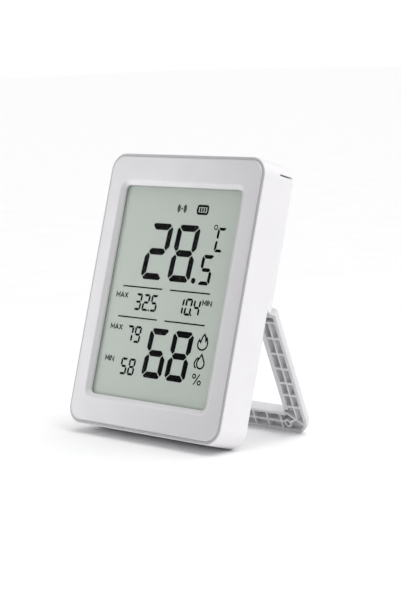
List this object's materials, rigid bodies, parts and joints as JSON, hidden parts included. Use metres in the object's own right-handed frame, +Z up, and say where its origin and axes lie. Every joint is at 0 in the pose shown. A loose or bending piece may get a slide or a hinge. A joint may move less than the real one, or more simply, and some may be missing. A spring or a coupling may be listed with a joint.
{
  "type": "tabletop thermo-hygrometer",
  "caption": "Upright temperature and humidity display in a flat white case that leans back on a U-shaped kickstand folding flush into its back.",
  "frame": {"origin": "centre of the bounding box's bottom face, on the table, with the stand open", "axes": "+Z up, the display faces -Y and leans back towards +Y, +X is the right side seen from the front"},
  "size_m": [0.086, 0.0568, 0.1121],
  "materials": {
    "white_case": "fine satin moulding",
    "pearl_panel": "pearl light grey, fine satin",
    "clear_lens": "clear polished",
    "polariser": "satin film",
    "display_glass": "clear",
    "reflector": "pale grey-green film",
    "white_frame": "natural white moulding",
    "silicone": "layered silicone",
    "board_green": "solder resist",
    "board_blue": "solder resist",
    "chip_black": "moulded epoxy",
    "tin_plate": "tin-plated steel",
    "sensor_white": "matt",
    "ceramic_tan": "ceramic",
    "white_button": "satin",
    "cell_sleeve": "printed-free shrink sleeve",
    "nickel_plate": "nickel-plated spring steel",
    "screw_steel": "zinc-plated",
    "stand_plastic": "satin moulding",
    "segment_ink": "dark display segments"
  },
  "bodies": {
    "case": {"rear_housing": "white_case", "front_bezel": "pearl_panel", "display_lens": "clear_lens", "front_polariser": "polariser", "lcd_front_glass": "display_glass", "lcd_rear_glass": "display_glass", "lcd_reflector": "reflector", "lcd_holder": "white_frame", "zebra_strip": "silicone", "main_board": "board_green", "display_driver": "chip_black", "radio_module": "board_blue", "radio_shield": "tin_plate", "humidity_sensor": "sensor_white", "board_parts": "ceramic_tan", "tact_switch": "chip_black", "battery_lower": "cell_sleeve", "battery_upper": "cell_sleeve", "negative_contact": "nickel_plate", "positive_contact": "nickel_plate", "bridge_contact": "nickel_plate", "board_screws": "screw_steel", "case_screws": "screw_steel"},
    "stand": {"kickstand": "stand_plastic"},
    "door": {"battery_door": "white_case"},
    "button": {"pairing_button": "white_button", "switch_plunger": "white_frame"}
  },
  "joints": [
    {"name": "stand_hinge", "type": "hinge", "parent": "case", "child": "stand", "pos_m": [0, 0.0062, 0.05735], "axis": [1, 0, 0], "range_deg": [-37.3, 0]},
    {"name": "door_tilt", "type": "hinge", "parent": "case", "child": "door", "pos_m": [0, 0.00476, 0.04285], "axis": [1, 0, 0], "range_deg": [0, 70]},
    {"name": "button_press", "type": "slide", "parent": "case", "child": "button", "axis": [0, -0.9575, 0.2883], "range_m": [0, 0.0004], "stiffness_N_per_m": 2000, "springref_m": -0.0001}
  ]
}
